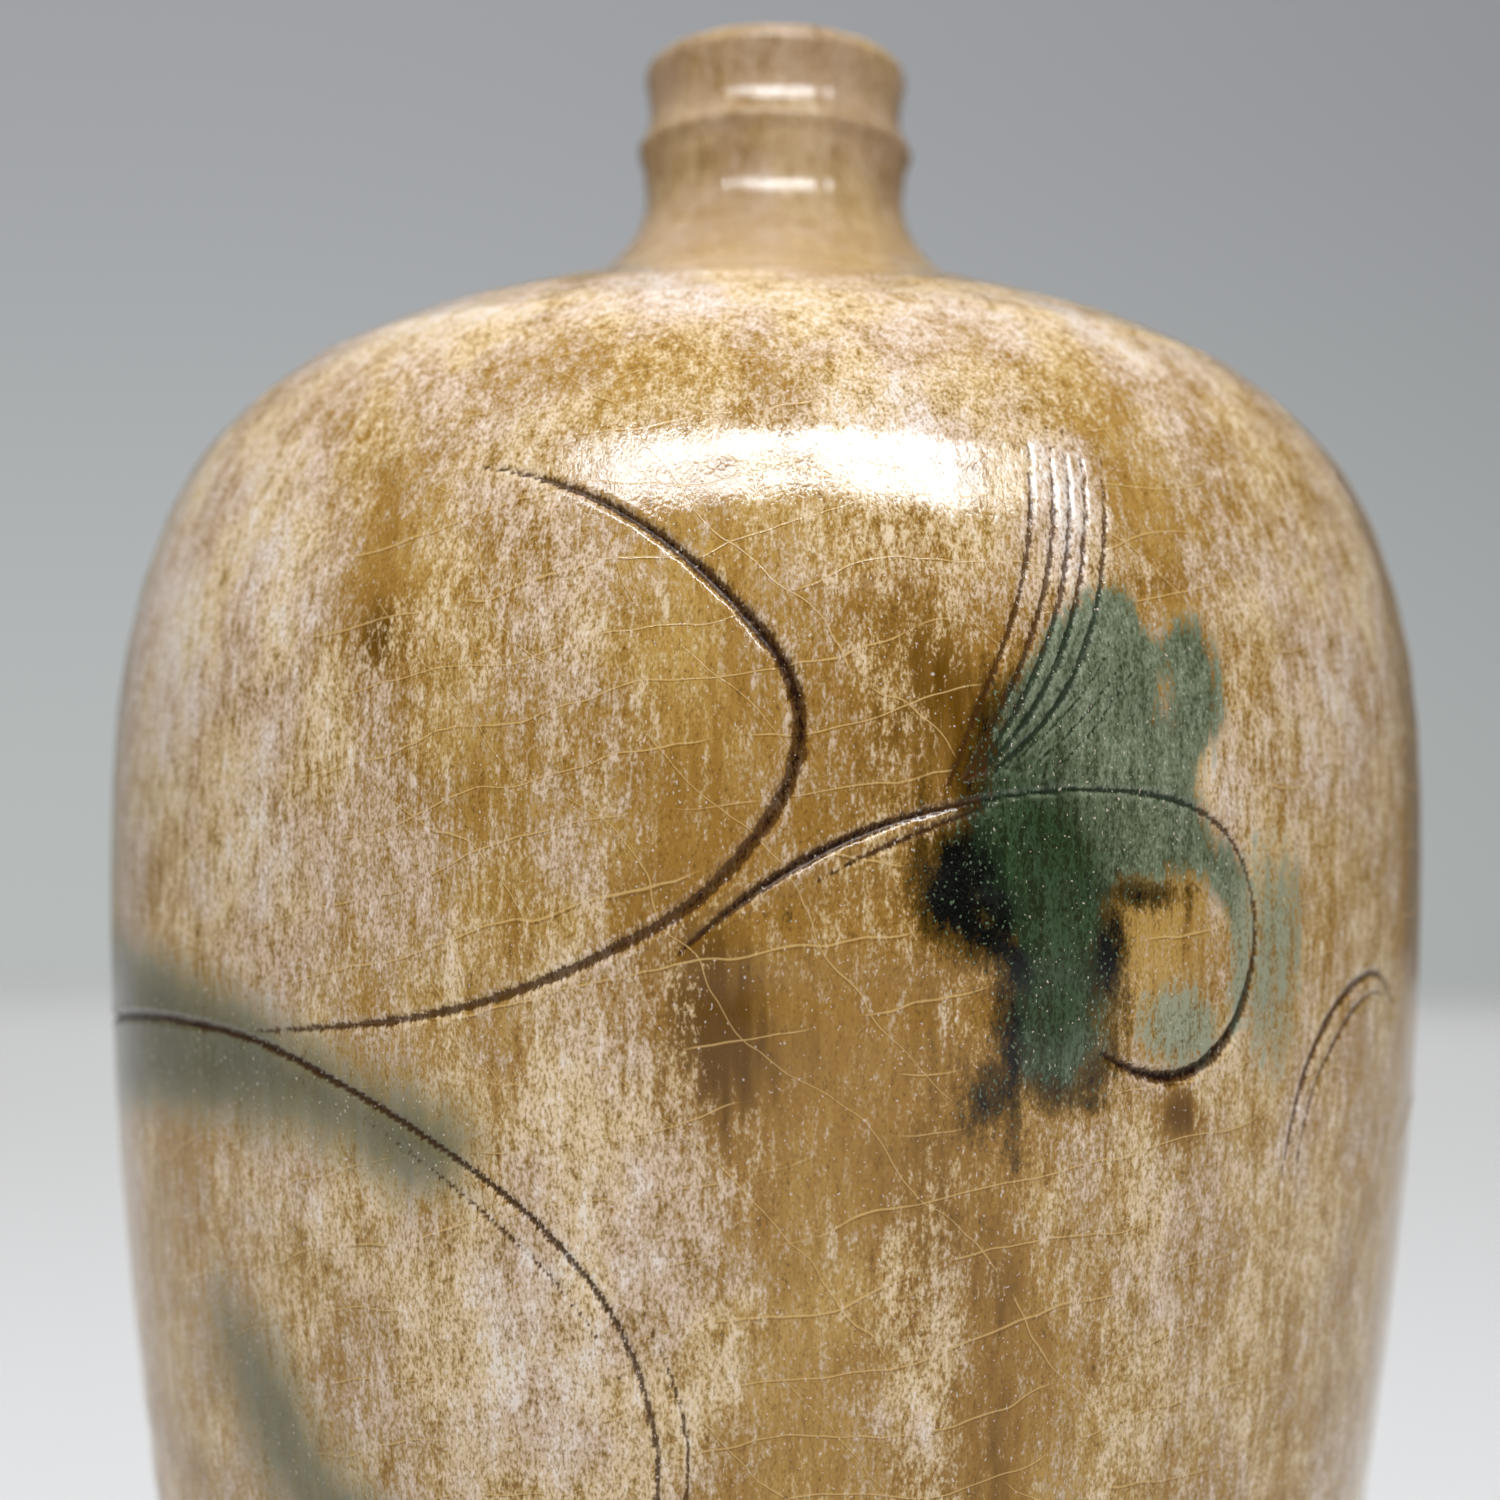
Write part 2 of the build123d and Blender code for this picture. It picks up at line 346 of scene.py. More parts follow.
GREEN_LOW_RIGHT = [(40, 62.0), (48, 66.0), (58, 62.0), (62, 52.0), (54, 45.0), (44, 50.0)]
GREEN_BACK = [
    (168, 117.0), (172, 127.0), (179, 133.5), (186, 129.0), (192, 131.5), (197, 122.0), (205, 114.0),
    (201, 104.0), (195, 103.5), (190, 93.0), (183, 91.0), (180, 100.0), (172, 103.0), (166, 109.0),
]


def inside_distance(outline_points, softness):
    """Signed distance to a closed outline in mm, positive inside, divided by a softness."""
    points = np.array(outline_points, float)
    middle = points.mean(0)
    flat = np.array([(radians(a - middle[0]) * BELLY, height_of(h)) for a, h in points])
    flat = smooth_curve(np.vstack([flat, flat[:1]]), 1.5)[:-1]
    reach = 7.0
    far_outside = -9.0
    offset = ((theta - radians(middle[0]) + pi) % (2 * pi) - pi) * BELLY
    columns = np.nonzero((offset > flat[:, 0].min() - reach) & (offset < flat[:, 0].max() + reach))[0]
    first, last = np.searchsorted(travel, (flat[:, 1].min() - reach, flat[:, 1].max() + reach))
    x, y = np.meshgrid(offset[columns], travel[first:last])
    away = np.full(x.shape, reach)
    within = np.zeros(x.shape, bool)
    for (ax, ay), (bx, by) in zip(flat, np.roll(flat, -1, axis=0)):
        dx, dy = bx - ax, by - ay
        t = np.clip(((x - ax) * dx + (y - ay) * dy) / (dx * dx + dy * dy), 0, 1)
        away = np.minimum(away, np.hypot(x - ax - t * dx, y - ay - t * dy))
        crossing = ((ay > y) != (by > y)) & (x < (bx - ax) * (y - ay) / (by - ay + 1e-12) + ax)
        within ^= crossing
    signed = np.full(shape, far_outside, np.float32)
    signed[np.ix_(np.arange(first, last), columns)] = np.where(within, away, -away) / softness
    return signed


cream = 0.28 * waves(24, 26, 60, 11) + 0.2 * waves(24, 12, 26, 12)
for azimuth, high, wide, tall, tilt, amount in FRONT_ZONES:
    cream += amount * blob(azimuth, high, wide, tall, tilt)
    if abs(azimuth) < 60:
        cream += 0.8 * amount * blob(azimuth + 180, high, wide, tall, tilt)
cream += 0.5 * np.exp(-(((level - 165) / 6) ** 2))[:, None]
on_neck = np.clip((level - NECK_FOOT) / 5, 0, 1)[:, None]
cream = cream * (1 - 0.8 * on_neck) + 0.1 * on_neck
# Green: how far inside the leaf's outline, with bare streaks, the back's patch and two thin patches
green = inside_distance(GREEN_LEAF, 1.0)
leaf = green.copy()
green -= 1.9 * blob(28.4, 133.4, 1.5, 5.4) + 1.5 * blob(32.6, 115.0, 3.0, 8.0)
green = np.minimum(green, 5.0 - 5.0 * blob(28.8, 129.5, 2.8, 7.5))
green = np.maximum(green, inside_distance(GREEN_BACK, 1.2))
green = np.maximum(green, 6.2 * blob(39.6, 111.0, 7.4, 16.0) - 5.2)
green = np.maximum(green, 6.2 * blob(30.6, 106.0, 7.4, 5.8) - 5.0)
veil = np.zeros(shape, np.float32)
for points, strength in ((GREEN_VINE, 1.0), (GREEN_LOW_LEFT, 0.76), (GREEN_LOW_RIGHT, 0.7)):
    veil = np.maximum(veil, strength * np.clip(0.5 + inside_distance(points, 8.0), 0, 1))
veil *= 1.0 + 0.55 * blob(-68, 102, 24, 10)
# Where the green is deep and bluish, and where it is pale
teal = patches_sum([
    (20, 111, 5, 7.5, 0, 0.85), (20.5, 104, 4, 5, 0, 0.3), (17, 118, 8, 6, 0, 0.6), (18, 126, 5, 7, 0, 0.35),
    (186, 112, 9, 12, 0, 0.6), (39, 110, 5, 9, 0, -0.8), (30, 106, 5, 5, 0, -0.8),
])
# Thick, nearly black glaze beside the leaf
thick_side = blob(15, 110, 6, 14) + blob(24.8, 110, 3, 7) + blob(20, 101, 7, 3.4) + 0.8 * blob(15, 126, 4, 8)
dark = np.clip(0.46 + 0.3 * inside_distance(DARK_SIDE, 1.0), 0, 1.2)
dark = np.maximum(dark, 0.62 * np.exp(-(((leaf + 0.5) / 1.9) ** 2)) * np.clip(thick_side, 0, 1))
for azimuth, high, wide, tall, amount in (
    (15.6, 101.6, 2.8, 3.2, 0.72), (14.4, 116.4, 1.6, 2.8, 1.0), (16.0, 113.4, 1.6, 2.6, 1.0),
    (17.2, 110.4, 1.4, 2.6, 0.95), (15.0, 114.8, 1.8, 2.4, 1.05), (22.0, 101.0, 3.4, 1.4, 0.6),
    (17.1, 104.4, 1.3, 6.6, 0.85), (24.2, 111.4, 1.6, 5.0, 1.0), (26.4, 115.4, 4.4, 1.2, 0.8),
    (14.6, 124.0, 2.4, 4.0, 0.35), (11.6, 121.8, 4.0, 1.6, 0.4), (170.0, 104.0, 3.0, 4.0, 0.6),
    (205.0, 113.0, 2.0, 6.0, 0.7),
):
    dark = np.maximum(dark, amount * blob(azimuth, high, wide, tall))
cream -= 2.2 * np.clip(dark, 0, 0.8)
# Brown where the amber pools, and under the lip
pool = patches_sum([
    (-3.5, 107, 4.6, 9, 12, 0.86), (5, 114, 8, 12, 0, 0.25), (-28.5, 133, 3.2, 3.4, 0, 0.7),
    (9, 131, 7, 9, 0, 0.5), (30.6, 99.6, 2.2, 2.6, 0, 1.0), (12, 96, 5, 24, 0, 0.35),
    (17.5, 80, 2.4, 18, 0, 0.5), (66, 126, 5, 16, 0, 0.35), (29, 138.4, 4, 1.4, 0, 0.5),
    (14, 124, 4, 8, 0, 0.4), (184, 133.5, 6, 2.4, 0, 0.6), (-29, 139, 2.6, 7, 0, 0.3),
])
under_lip = 0.7 * np.exp(-(((level - 194.0) / 1.0) ** 2))
pool += (under_lip + 0.25 * np.clip((level - 176) / 8, 0, 1))[:, None]

# ---------------------------------------------------------------- relief

RING_PITCH = 6.4
DEEPEST_RELIEF = 0.43
rings = np.sin(travel * 2 * pi / RING_PITCH + 1.3 * np.sin(travel / 23))[:, None]
rings = rings * (0.6 + 0.4 * waves(12, 120, 30, 21))
runs = waves(30, 9, 60, 22)
swell = np.cos(2 * theta + 0.7)[None, :] * np.exp(-(((level - 100) / 60) ** 2))[:, None]
shoulder_step = np.exp(-(((radius - 45.6) / 0.7) ** 2)) + 0.8 * np.exp(-(((radius - 21.0) / 0.8) ** 2))
on_shoulder = (level > 150) & (level < 176)
relief = 0.035 * rings + 0.03 * runs + 0.1 * swell
relief += 0.12 * (shoulder_step * on_shoulder)[:, None]
ring_crest = 0.42 * np.exp(-(((level - RING_HEIGHT) / 0.6) ** 2))
ring_foot = 0.12 * np.exp(-(((level - RING_HEIGHT + 1.6) / 0.7) ** 2))
relief += (ring_crest - ring_foot)[:, None]
relief += 0.009 * waves(40, 3.0, 4.0, 23)
relief -= cut_depth * groove
relief += 0.06 * burr * np.clip(cut_depth / 0.3, 0, 1)
lip_fade = np.clip((travel[-1] - travel) / 5.0, 0, 1)
foot_fade = np.clip(travel / 1.2, 0, 1)
relief = relief * (lip_fade * foot_fade)[:, None]
relief += 0.28 * np.exp(-((travel / 1.6) ** 2))[:, None]
relief = np.maximum(relief, -DEEPEST_RELIEF)


# ---------------------------------------------------------------- the coat's mesh

def build_coat():
    """The closed shell of glaze: its worked outside, and a plain back that the clay lies behind."""
    outer_radius = radius[:, None] + relief * normal[:, 0][:, None]
    outer_level = level[:, None] + relief * normal[:, 1][:, None]
    hem = 1.1 * waves(10, 60, 1e6, 31)[0] + 0.5 * waves(14, 18, 1e6, 32)[0]
    hem_fade = np.exp(-((travel / 5.0) ** 2))
    outer_level += (hem - hem.min() * 0.4)[None, :] * hem_fade[:, None]
    back = stepped([0, side_length[-1]], [3.0])
    back_rows = wall_point(back)
    back_slope = np.gradient(back_rows, axis=0)
    back_slope /= np.hypot(back_slope[:, 0], back_slope[:, 1])[:, None]
    back_rows -= COAT * np.stack([back_slope[:, 1], -back_slope[:, 0]], 1)
    back_rows = np.concatenate([back_rows, lip_arc(COAT)])[::-1]
    back_radius = np.broadcast_to(back_rows[:, 0][:, None], (len(back_rows), shape[1]))
    back_level = np.broadcast_to(back_rows[:, 1][:, None], back_radius.shape).copy()
    back_fade = np.exp(-(((back_rows[:, 1] - GLAZE_LINE) / 5.0) ** 2)) * (back_rows[:, 1] < 60)
    back_level += (hem - hem.min() * 0.4)[None, :] * back_fade[:, None]
    all_radius = np.concatenate([outer_radius, back_radius])
    all_level = np.concatenate([outer_level, back_level])
    x = all_radius * np.sin(theta)[None, :]
    y = -all_radius * np.cos(theta)[None, :]
    points = np.stack([x, y, all_level], -1).reshape(-1, 3) * MM
    count, columns = all_radius.shape
    here = np.arange(count)[:, None] * columns + np.arange(columns)[None, :]
    right = np.roll(here, -1, axis=1)
    above = np.roll(here, -1, axis=0)
    above_right = np.roll(above, -1, axis=1)
    quads = np.stack([here, right, above_right, above], -1).reshape(-1, 4)
    mesh = bpy.data.meshes.new("glaze_coat")
    mesh.vertices.add(len(points))
    mesh.vertices.foreach_set("co", points.astype(np.float32).ravel())
    mesh.loops.add(quads.size)
    mesh.loops.foreach_set("vertex_index", quads.astype(np.int32).ravel())
    mesh.polygons.add(len(quads))
    mesh.polygons.foreach_set("loop_start", np.arange(0, quads.size, 4, dtype=np.int32))
    mesh.polygons.foreach_set("use_smooth", np.ones(len(quads), bool))
    mesh.update(calc_edges=True)
    mesh.validate()
    extra = count - shape[0]
    flow = np.stack([radius[:, None] * np.sin(theta)[None, :], -radius[:, None] * np.cos(theta)[None, :],
                     np.broadcast_to(travel[:, None], shape)], -1)
    flow = np.concatenate([flow, np.broadcast_to(flow[-1:], (extra, columns, 3))])
    store = mesh.attributes.new("flow", "FLOAT_VECTOR", "POINT")
    store.data.foreach_set("vector", flow.astype(np.float32).ravel())
    fields = {
        "cream": cream, "green": green, "teal": teal, "dark": dark,
        "pool": pool, "veil": veil, "groove": ink, "burr": burr,
    }
    for name, field in fields.items():
        full = np.concatenate([field, np.zeros((extra, columns))]).astype(np.float32)
        store = mesh.attributes.new(name, "FLOAT", "POINT")
        store.data.foreach_set("value", full.ravel())
    coat = bpy.data.objects.new("glaze_coat", mesh)
    bpy.context.scene.collection.objects.link(coat)
    return coat


# ---------------------------------------------------------------- node helpers

class Shader:
    """A node material that is wired up by short calls, each of which returns an output socket."""

    def __init__(self, name):
        self.material = bpy.data.materials.new(name)
        self.material.use_nodes = True
        self.tree = self.material.node_tree
        self.tree.nodes.clear()

    def node(self, kind, inputs=(), **settings):
        made = self.tree.nodes.new(kind)
        for key, value in settings.items():
            setattr(made, key, value)
        for key, value in dict(inputs).items():
            socket = made.inputs[key]
            if isinstance(value, bpy.types.NodeSocket):
                self.tree.links.new(value, socket)
            else:
                socket.default_value = value
        return made

    def value(self, name):
        return self.node("ShaderNodeAttribute", attribute_name=name).outputs["Fac"]

    def vector(self, name):
        return self.node("ShaderNodeAttribute", attribute_name=name).outputs["Vector"]

    def math(self, operation, a, b=0.0, c=0.0):
        return self.node("ShaderNodeMath", {0: a, 1: b, 2: c}, operation=operation).outputs[0]

    def stretch(self, vector, x, y, z):
        return self.node("ShaderNodeVectorMath", {0: vector, 1: (x, y, z)}, operation="MULTIPLY").outputs[0]

    def noise(self, vector, detail=2.0, roughness=0.5, distortion=0.0):
        inputs = {"Vector": vector, "Scale": 1.0, "Detail": detail}
        inputs.update({"Roughness": roughness, "Distortion": distortion})
        return self.node("ShaderNodeTexNoise", inputs).outputs["Fac"]

    def smooth(self, value, low, high, to_low=0.0, to_high=1.0):
        inputs = {"Value": value, "From Min": low, "From Max": high, "To Min": to_low, "To Max": to_high}
        return self.node("ShaderNodeMapRange", inputs, interpolation_type="SMOOTHSTEP").outputs["Result"]

    def mix(self, share, a, b, blend="MIX"):
        made = self.node("ShaderNodeMix", data_type="RGBA", blend_type=blend)
        for index, value in ((0, share), (6, a), (7, b)):
            if isinstance(value, bpy.types.NodeSocket):
                self.tree.links.new(value, made.inputs[index])
            else:
                made.inputs[index].default_value = value
        return made.outputs[2]

    def bump(self, height, distance, strength=1.0, normal=None):
        inputs = {"Height": height, "Distance": distance, "Strength": strength}
        if normal is not None:
            inputs["Normal"] = normal
        return self.node("ShaderNodeBump", inputs).outputs["Normal"]

    def finish(self, **inputs):
        named = {key.replace("_", " "): value for key, value in inputs.items()}
        shader = self.node("ShaderNodeBsdfPrincipled", named)
        output = self.node("ShaderNodeOutputMaterial")
        self.tree.links.new(shader.outputs[0], output.inputs["Surface"])
        return self.material


# ---------------------------------------------------------------- materials

def glaze_material():
    """Runny amber ash glaze, broken by cream flecks, with green splashes and dark cut lines."""
    s = Shader("ash_glaze")
    flow = s.vector("flow")
    grain = s.noise(s.stretch(flow, 1 / 0.2, 1 / 0.2, 1 / 0.38), 2.0, 0.6)
    flecks = s.noise(s.stretch(flow, 1 / 0.5, 1 / 0.5, 1 / 1.3), 3.0, 0.6, 0.2)
    clusters = s.noise(s.stretch(flow, 1 / 2.0, 1 / 2.0, 1 / 4.2), 2.0, 0.5)
    patches = s.noise(s.stretch(flow, 1 / 5.5, 1 / 5.5, 1 / 10.0), 2.0, 0.5)
    drifts = s.noise(s.stretch(flow, 1 / 17, 1 / 17, 1 / 42), 2.0, 0.5)
    streaks = s.noise(s.stretch(flow, 1 / 0.8, 1 / 0.8, 1 / 5.5), 3.0, 0.55)
    tint = s.noise(s.stretch(flow, 1 / 7, 1 / 7, 1 / 11), 2.0, 0.5)

    def off_centre(value, amount, base):
        return s.math("MULTIPLY_ADD", s.math("SUBTRACT", value, 0.5), amount, base)

    # How much cream there is: zones, then patches and streaks, then flecks and grains
    amount = s.math("MULTIPLY_ADD", s.value("cream"), 0.13, 0.515)
    amount = s.math("MULTIPLY_ADD", s.value("burr"), 0.08, amount)
    amount = off_centre(drifts, 0.16, off_centre(patches, 0.24, amount))
    amount = off_centre(streaks, 0.34, off_centre(clusters, 0.3, amount))
    amount = off_centre(grain, 0.52, off_centre(flecks, 0.54, amount))
    parts = s.node("ShaderNodeSeparateXYZ", {0: flow})
    # The neck is calmer and browner: the pattern there is pulled towards its middle
    calm = s.smooth(parts.outputs["Z"], height_of(168), height_of(175), 1.0, 0.6)
    amount = s.math("MULTIPLY_ADD", s.math("SUBTRACT", amount, 0.53), calm, 0.53)
    cover = s.smooth(amount, 0.46, 0.62)
    # Amber, darker where it pools
    depth = s.math("MULTIPLY_ADD", s.value("pool"), 0.95, 0.22)
    depth = off_centre(patches, -0.7, off_centre(streaks, -0.8, depth))
    amber = s.mix(s.smooth(depth, 0.0, 0.5), srgb(188, 150, 80), srgb(156, 115, 50))
    amber = s.mix(s.smooth(depth, 0.45, 1.1), amber, srgb(98, 65, 8))
    golden = s.mix(s.smooth(tint, 0.4, 0.6), srgb(190, 160, 108), srgb(176, 147, 106))
    pale = s.mix(s.smooth(tint, 0.38, 0.62), srgb(222, 196, 156), srgb(210, 184, 158))
    colour = s.mix(s.smooth(amount, 0.40, 0.53), amber, golden)
    colour = s.mix(s.smooth(amount, 0.48, 0.64), colour, pale)
    colour = s.mix(s.smooth(amount, 0.64, 0.76, 0.0, 0.7), colour, srgb(236, 226, 216))
    colour = s.mix(s.smooth(grain, 0.36, 0.5, 0.34, 0.0), colour, srgb(104, 76, 40))
    colour = s.mix(s.smooth(calm, 0.6, 1.0, 0.32, 0.0), colour, srgb(146, 116, 84))
    # Crazing: long hair lines that rise round the pot, and shorter ones that cross them, each with a line of
    # painted shade just below it
    around = s.math("ARCTAN2", parts.outputs["X"], s.math("MULTIPLY", parts.outputs["Y"], -1.0))
    bend = s.noise(s.stretch(flow, 1 / 15, 1 / 15, 1 / 15), 3.0, 0.42)
    gaps = s.noise(s.stretch(flow, 1 / 9, 1 / 9, 1 / 6), 2.0, 0.5)
    plain = s.smooth(s.value("dark"), 0.05, 0.4, 1.0, 0.0)
    plain = s.math("MULTIPLY", plain, s.smooth(s.value("green"), -1.0, 0.5, 1.0, 0.0))

    def hair_lines(turns, pitch, sway, low, high, side):
        climb = s.math("MULTIPLY", around, -turns / (2 * pi))
        rise = s.math("MULTIPLY_ADD", parts.outputs["Z"], 1 / pitch, climb)
        phase = s.math("ADD", off_centre(bend, sway, rise), side / pitch)
        away = s.math("PINGPONG", phase, 0.5)
        width = 0.036 / pitch
        return s.math("MULTIPLY", s.smooth(away, width, 2.4 * width, 1.0, 0.0), s.smooth(gaps, low, high))

    def crazed(side):
        long_lines = hair_lines(15.0, 5.0, 1.4, 0.33, 0.44, side)
        cross_lines = hair_lines(-36.0, 11.0, 1.3, 0.64, 0.55, side)
        clear = s.math("MULTIPLY", plain, s.math("MULTIPLY_ADD", cover, -0.65, 0.68))
        return s.math("MULTIPLY", s.math("MAXIMUM", long_lines, cross_lines), clear)

    crazing = crazed(0.0)
    # A darker copy of the crazing, set a little lower on the wall than each hair line, is painted shade under
    # it
    colour = s.mix(s.math("MULTIPLY", crazed(0.14), 0.7), colour, srgb(110, 76, 30))
    colour = s.mix(crazing, colour, srgb(214, 178, 112))
    # Green splashes, ragged at their edges and streaked by the run of the glaze
    haze = off_centre(patches, 0.5, off_centre(flecks, 0.5, off_centre(grain, 0.4, s.value("veil"))))
    olive = s.mix(s.smooth(haze, 0.4, 1.2), srgb(126, 122, 92), srgb(70, 76, 54))
    colour = s.mix(s.smooth(haze, 0.12, 0.8, 0.0, 0.86), colour, olive)
    edge = off_centre(patches, 2.0, off_centre(streaks, 3.4, s.value("green")))
    edge = off_centre(grain, 2.5, off_centre(flecks, 3.5, edge))
    is_green = s.smooth(edge, -0.8, 0.9)
    mottle = off_centre(grain, 0.9, off_centre(flecks, 0.5, off_centre(streaks, 0.6, 0.5)))
    sage = s.mix(s.smooth(mottle, 0.3, 0.6), srgb(64, 76, 54), srgb(108, 119, 94))
    sage = s.mix(s.smooth(mottle, 0.58, 0.74), sage, srgb(142, 149, 124))
    light = s.mix(s.smooth(mottle, 0.3, 0.6), srgb(108, 112, 84), srgb(152, 153, 126))
    teal = s.mix(s.smooth(mottle, 0.32, 0.64), srgb(13, 33, 16), srgb(38, 69, 42))
    copper = s.mix(s.smooth(s.value("teal"), -0.6, -0.1), light, sage)
    copper = s.mix(s.smooth(s.value("teal"), 0.05, 0.85), copper, teal)
    copper = s.mix(s.math("MULTIPLY", s.value("burr"), 0.4), copper, srgb(140, 150, 124))
    colour = s.mix(s.math("MULTIPLY", is_green, 0.96), colour, copper)
    # Thick glaze beside the leaf turns dark olive and then nearly black
    shade = off_centre(clusters, -0.6, off_centre(streaks, -0.5, s.value("dark")))
    shade = off_centre(grain, -0.7, off_centre(flecks, -0.7, shade))
    deep = s.mix(is_green, srgb(66, 46, 4), srgb(30, 42, 24))
    colour = s.mix(s.smooth(shade, 0.08, 0.6, 0.0, 0.88), colour, deep)
    colour = s.mix(s.smooth(shade, 0.5, 0.95), colour, srgb(8, 9, 5))
    # Cut lines hold dark glaze, blackest where they are deep
    line = off_centre(flecks, -0.7, off_centre(grain, -0.8, s.value("groove")))
    line_colour = s.mix(is_green, srgb(70, 41, 14), srgb(34, 46, 30))
    colour = s.mix(s.smooth(line, 0.12, 0.5, 0.0, 0.85), colour, line_colour)
    black = s.math("MULTIPLY_ADD", is_green, -0.45, 0.95)
    colour = s.mix(s.math("MULTIPLY", s.smooth(line, 0.66, 1.0), black), colour, srgb(32, 13, 6))
    # Tiny pale dots are painted glints; in the dark glaze they turn into greenish-grey specks of glaze
    # colour, and there are more of them
    glints_and_specks = s.noise(s.stretch(flow, 1 / 0.2, 1 / 0.2, 1 / 0.28), 0.0, 0.5)
    glint_and_speck_colour = s.mix(s.smooth(shade, 0.2, 0.5), srgb(222, 206, 188), srgb(104, 122, 94))
    glints_and_specks = s.math("MULTIPLY_ADD", s.smooth(shade, 0.1, 0.5), 0.07, glints_and_specks)
    colour = s.mix(s.smooth(glints_and_specks, 0.77, 0.82, 0.0, 0.7), colour, glint_and_speck_colour)
    roughness = s.math("MULTIPLY_ADD", cover, 0.02, 0.05)
    roughness = s.math("MULTIPLY_ADD", s.value("groove"), 0.25, roughness)
    roughness = s.math("ADD", roughness, s.smooth(calm, 0.6, 1.0, 0.1, 0.0))
    gloss = s.math("MULTIPLY_ADD", s.value("groove"), -0.4, 0.5)
    height = off_centre(flecks, 0.6, off_centre(grain, 0.5, s.math("MULTIPLY_ADD", crazing, -0.6, amount)))
    normal = s.bump(height, 0.000018, 1.0)
    return s.finish(Base_Color=colour, Roughness=roughness, Normal=normal, IOR=1.39, Specular_IOR_Level=gloss)


def clay_material():
    """Bare stoneware, toasted at the foot, with sand and turning marks."""
    s = Shader("bare_stoneware")
    place = s.node("ShaderNodeTexCoord").outputs["Object"]
    sand = s.noise(s.stretch(place, 1600, 1600, 1600), 3.0, 0.6)
    toast = s.noise(s.stretch(place, 60, 60, 140), 3.0, 0.5)
    turning = s.noise(s.stretch(place, 20, 20, 2200), 2.0, 0.5)
    colour = s.mix(s.smooth(toast, 0.35, 0.65), srgb(176, 128, 92), srgb(134, 86, 56))
    colour = s.mix(s.smooth(sand, 0.6, 0.7, 0.0, 0.5), colour, srgb(214, 186, 150))
    colour = s.mix(s.smooth(sand, 0.38, 0.3, 0.0, 0.5), colour, srgb(84, 54, 38))
    height = s.math("MULTIPLY_ADD", turning, 0.7, sand)
    return s.finish(Base_Color=colour, Roughness=0.82, Normal=s.bump(height, 0.0002, 0.7), IOR=1.45)


def liner_material():
    """The thin glaze inside the mouth and the body."""
    s = Shader("liner_glaze")
    place = s.node("ShaderNodeTexCoord").outputs["Object"]
    cloud = s.noise(s.stretch(place, 260, 260, 120), 4.0, 0.6)
    fine = s.noise(s.stretch(place, 1400, 1400, 700), 3.0, 0.6)
    colour = s.mix(s.smooth(cloud, 0.4, 0.62), srgb(126, 92, 50), srgb(196, 168, 128))
    colour = s.mix(s.smooth(fine, 0.55, 0.68, 0.0, 0.5), colour, srgb(220, 198, 164))
    return s.finish(Base_Color=colour, Roughness=0.25, Normal=s.bump(fine, 0.00004, 0.5), IOR=1.5)


coat = build_coat()
coat.data.materials.append(glaze_material())
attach(coat, "root")
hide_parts("outer_glaze", *[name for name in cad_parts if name.startswith("green_splash")])


def dress(node_name, material):
    """Gives a carried-over piece its material."""
    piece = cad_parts[node_name]
    if not piece.material_slots:
        piece.data.materials.append(material)
    for place in piece.material_slots:
        place.material = material


clay = clay_material()
dress("clay_body", clay)
dress("clay_neck", clay)
dress("inner_glaze", liner_material())


# ---------------------------------------------------------------- studio

def plane(name, width, depth, centre, tilt, material):
    """A flat stage piece."""
    mesh = bpy.data.meshes.new(name)
    signs = [(-1, -1), (1, -1), (1, 1), (-1, 1)]
    corners = [(x * width / 2, y * depth / 2, 0) for x, y in signs]
    mesh.from_pydata(corners, [], [(0, 1, 2, 3)])
    made = bpy.data.objects.new(name, mesh)
    made.location = centre
    made.rotation_euler = (tilt, 0, 0)
    mesh.materials.append(material)
    bpy.context.scene.collection.objects.link(made)
    return made


def matt(name, colour):
    """A plain matt surface."""
    return Shader(name).finish(Base_Color=colour, Roughness=0.9)


def glowing(name, low, high, height):
    """A lit backdrop: its colour changes over a height in metres, and it falls off to the right."""
    s = Shader(name)
    place = s.node("ShaderNodeNewGeometry").outputs["Position"]
    parts = s.node("ShaderNodeSeparateXYZ", {0: place})
    fall = s.smooth(parts.outputs["X"], -1.0, 4.5, 1.0, 0.5)
    seen_straight = s.node("ShaderNodeLightPath").outputs["Is Camera Ray"]
    fall = s.math("MULTIPLY", fall, s.smooth(seen_straight, 0.0, 1.0, 0.5, 1.0))
    colour = s.mix(s.smooth(parts.outputs["Z"], 0.0, height), low, high)
    light = s.node("ShaderNodeEmission", {"Color": colour, "Strength": fall})
    output = s.node("ShaderNodeOutputMaterial")
    s.tree.links.new(light.outputs[0], output.inputs["Surface"])
    return s.material


def area_light(name, place, target, size, size_y, power, mirrored=True, lights_up=True, colour=(1, 1, 1)):
    """A rectangular light aimed at a point: the glaze mirrors it or not, and it lights surfaces or not."""
    data = bpy.data.lights.new(name, "AREA")
    data.shape = "RECTANGLE"
    data.size = size
    data.size_y = size_y
    data.energy = power
    data.color = colour
    made = bpy.data.objects.new(name, data)
    made.location = place
    made.rotation_euler = (Vector(target) - Vector(place)).to_track_quat("-Z", "Y").to_euler()
    made.visible_glossy = mirrored
    made.visible_diffuse = lights_up
    bpy.context.scene.collection.objects.link(made)


plane("table_top", 8.0, 6.0, (0, 0, 0), 0, matt("table_paint", srgb(190, 190, 190)))
wall_light = glowing("wall_light", srgb(183, 187, 186), srgb(160, 162, 166), 1.7)
plane("back_wall", 16.0, 10.0, (0, 3.4, 3.0), pi / 2, wall_light)

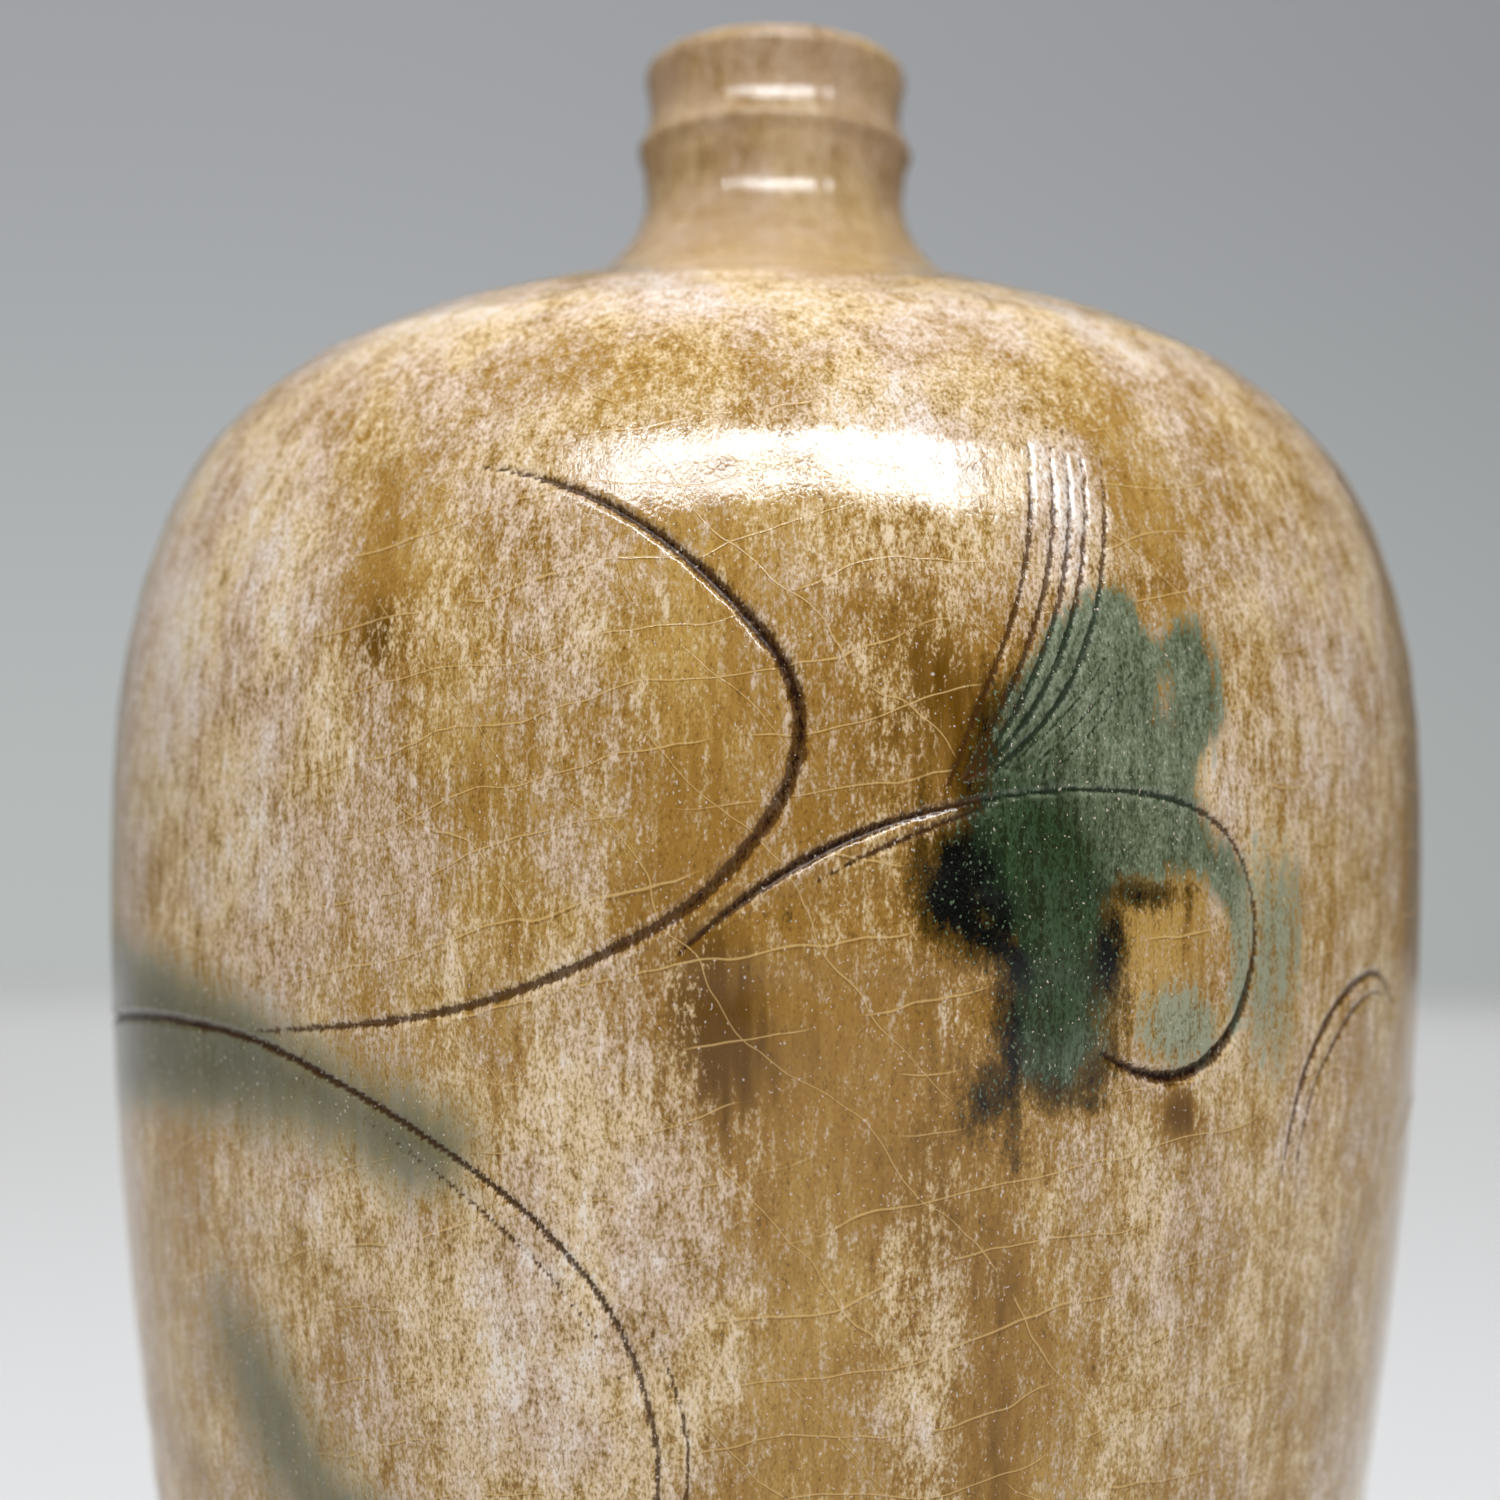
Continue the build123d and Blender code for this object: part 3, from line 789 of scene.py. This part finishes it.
world = bpy.data.worlds.new("studio")
world.use_nodes = True
background = world.node_tree.nodes["Background"]
background.inputs["Color"].default_value = srgb(186, 189, 190)
seen = world.node_tree.nodes.new("ShaderNodeLightPath").outputs["Is Camera Ray"]
dim = world.node_tree.nodes.new("ShaderNodeMapRange")
dim.inputs["To Min"].default_value = 0.16
world.node_tree.links.new(seen, dim.inputs["Value"])
world.node_tree.links.new(dim.outputs["Result"], background.inputs["Strength"])
bpy.context.scene.world = world

# The two boxes share the shoulder's long highlight: the second adds to the glint only
COOL = (0.93, 0.95, 1.0)
COOLER = (0.86, 0.92, 1.0)
area_light("key_box", (0.075, -0.69, 0.92), (0.002, -0.057, 0.145), 1.08, 0.2, 9.8, colour=COOL)
area_light(
    "glint_box", (0.035, -0.69, 0.92), (0.0, -0.057, 0.145), 1.16, 0.17, 12.0, lights_up=False, colour=COOLER,
)
area_light("edge_strip", (0.216, -1.09, 0.71), (0.005, -0.058, 0.139), 0.42, 0.045, 0.3)
area_light("soft_fill", (-0.12, -0.16, 1.25), (0, 0, 0.12), 1.0, 0.7, 10.5, mirrored=False)
area_light("table_wash", (0, 2.0, 2.4), (0, 1.9, 0), 3.6, 2.0, 86, mirrored=False)

EYE_LEVEL = 0.114
EYE_DISTANCE = 0.219
LOOKS_UP = 4.0
ROLL = -0.65
camera_data = bpy.data.cameras.new("camera")
camera_data.lens = 55.2
camera_data.sensor_width = 36.0
camera_data.clip_start = 0.01
camera = bpy.data.objects.new("camera", camera_data)
camera.location = (0.0, -EYE_DISTANCE, EYE_LEVEL)
camera.rotation_euler = (radians(90.0 + LOOKS_UP), radians(ROLL), 0)
camera_data.shift_x = -0.01067
bpy.context.scene.collection.objects.link(camera)
bpy.context.scene.camera = camera

# The focus rides on the side of the bottle that the camera is on
focus = bpy.data.objects.new("focus", None)
bpy.context.scene.collection.objects.link(focus)
copy = focus.constraints.new("COPY_LOCATION")
copy.target = camera
hub = bpy.data.objects.new("hub", None)
hub.location = (0, 0, 0.115)
bpy.context.scene.collection.objects.link(hub)
limit = focus.constraints.new("LIMIT_DISTANCE")
limit.target = hub
limit.distance = 0.056
limit.limit_mode = "LIMITDIST_ONSURFACE"
camera_data.dof.use_dof = True
camera_data.dof.focus_object = focus
camera_data.dof.aperture_fstop = 15

bpy.context.scene.view_settings.view_transform = "Standard"
bpy.context.scene.view_settings.exposure = 0.0
